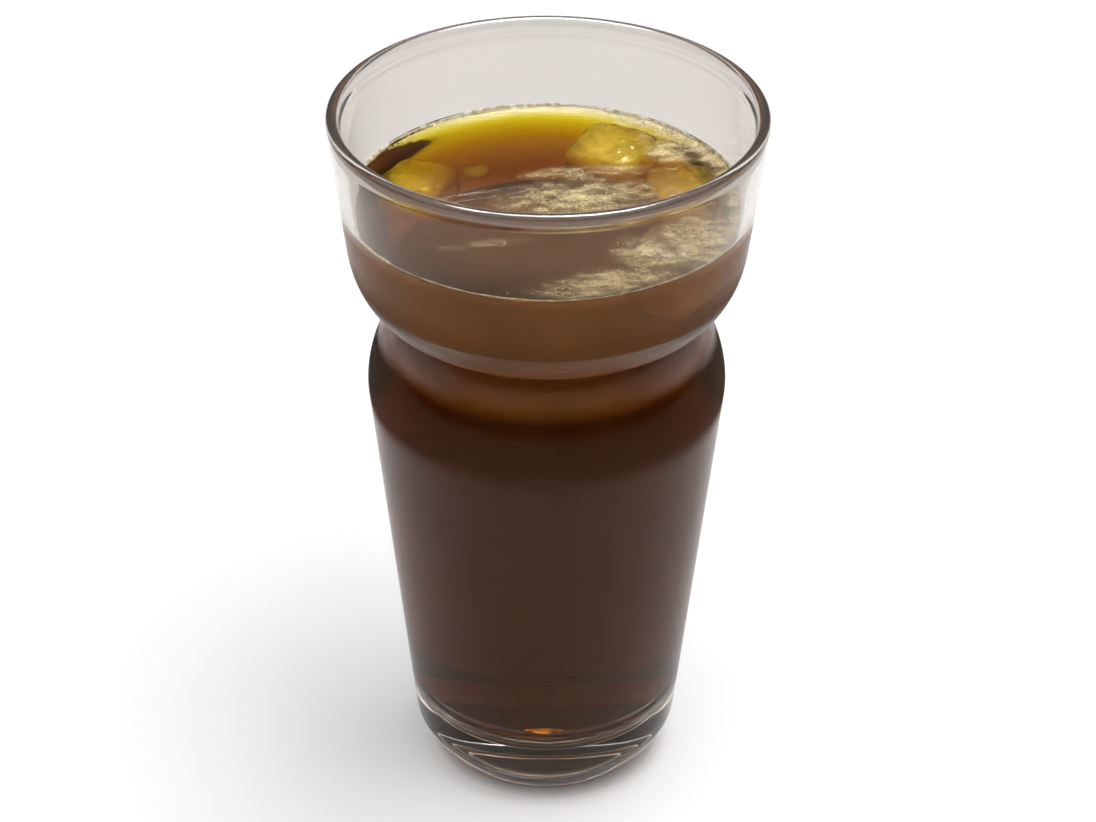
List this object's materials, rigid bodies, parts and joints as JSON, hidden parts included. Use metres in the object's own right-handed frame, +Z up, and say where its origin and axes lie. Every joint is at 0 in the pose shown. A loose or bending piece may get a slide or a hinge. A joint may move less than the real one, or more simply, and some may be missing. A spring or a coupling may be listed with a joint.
{
  "type": "iced americano",
  "caption": "Tall waisted tumbler with a thick base, filled near the brim with iced black coffee, with melting ice at the surface.",
  "frame": {"origin": "middle of the foot, on the surface that the glass stands on", "axes": "+Z up along the axis of the glass, +Y away from the viewer of the picture, +X to the viewer's right"},
  "size_m": [0.088, 0.088, 0.1531],
  "materials": {
    "glass": "clear, polished",
    "coffee": "liquid, dark brown, see-through at thin edges",
    "ice": "clear, wet"
  },
  "bodies": {
    "root": {"glass": "glass", "coffee": "coffee", "ice_back": "ice", "ice_right": "ice", "ice_front": "ice"}
  },
  "joints": []
}
